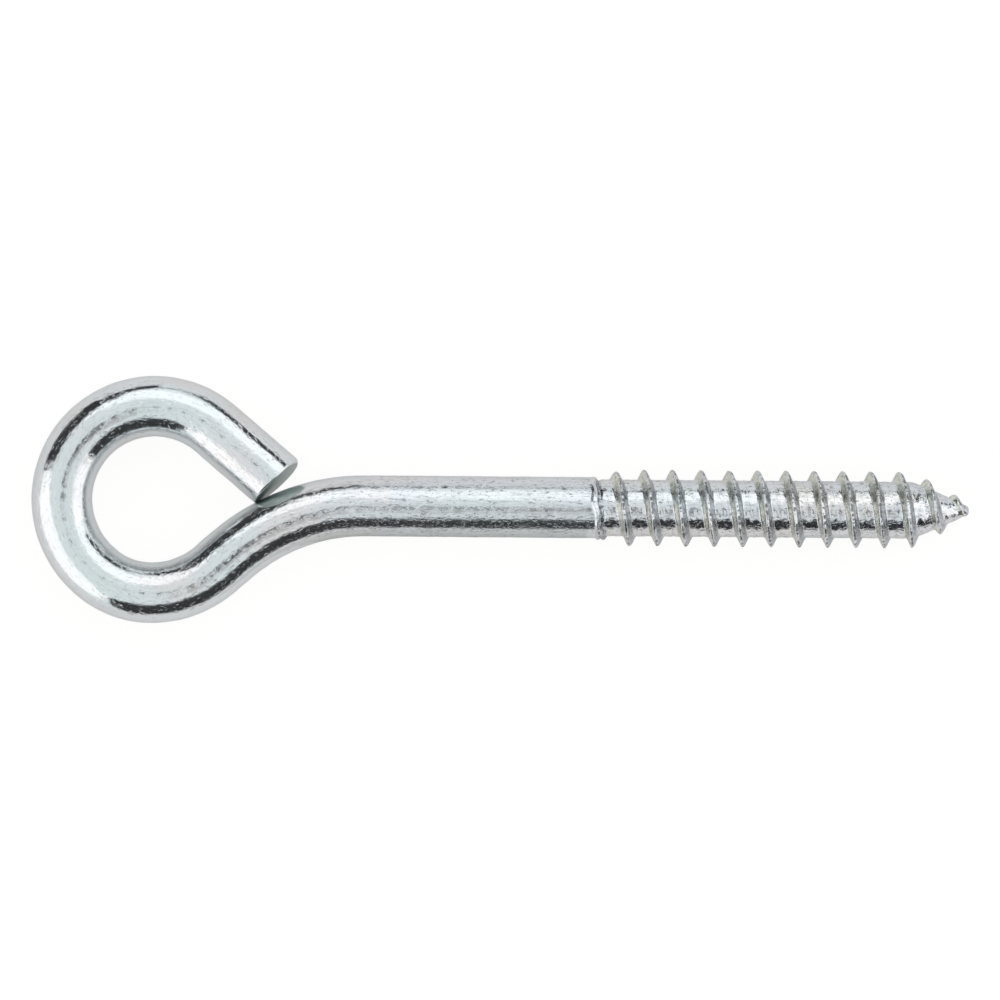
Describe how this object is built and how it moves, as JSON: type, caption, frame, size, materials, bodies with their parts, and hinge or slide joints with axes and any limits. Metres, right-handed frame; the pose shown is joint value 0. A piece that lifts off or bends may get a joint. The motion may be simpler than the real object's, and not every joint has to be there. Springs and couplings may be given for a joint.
{
  "type": "screw eye",
  "caption": "Zinc-plated steel screw eye: wire bent into an eye at one end, with a wood-screw thread and gimlet point at the other.",
  "frame": {"origin": "on the shank's axis, where the rolled thread starts", "axes": "+X along the shank towards the point, +Y across the shank in the eye's plane, towards the closing tail, +Z square to the eye's plane"},
  "size_m": [0.0952, 0.025, 0.0078],
  "materials": {
    "bright_zinc_wire": "bright zinc plate over drawn steel wire, faint lengthwise draw lines",
    "bright_zinc_thread": "bright zinc plate over a rolled thread, faintly iridescent, finely pitted"
  },
  "bodies": {
    "root": {"eye_tail": "bright_zinc_wire", "eye_ring": "bright_zinc_wire", "neck_bend": "bright_zinc_wire", "plain_shank": "bright_zinc_wire", "threaded_shank": "bright_zinc_thread", "gimlet_point": "bright_zinc_thread"}
  },
  "joints": []
}
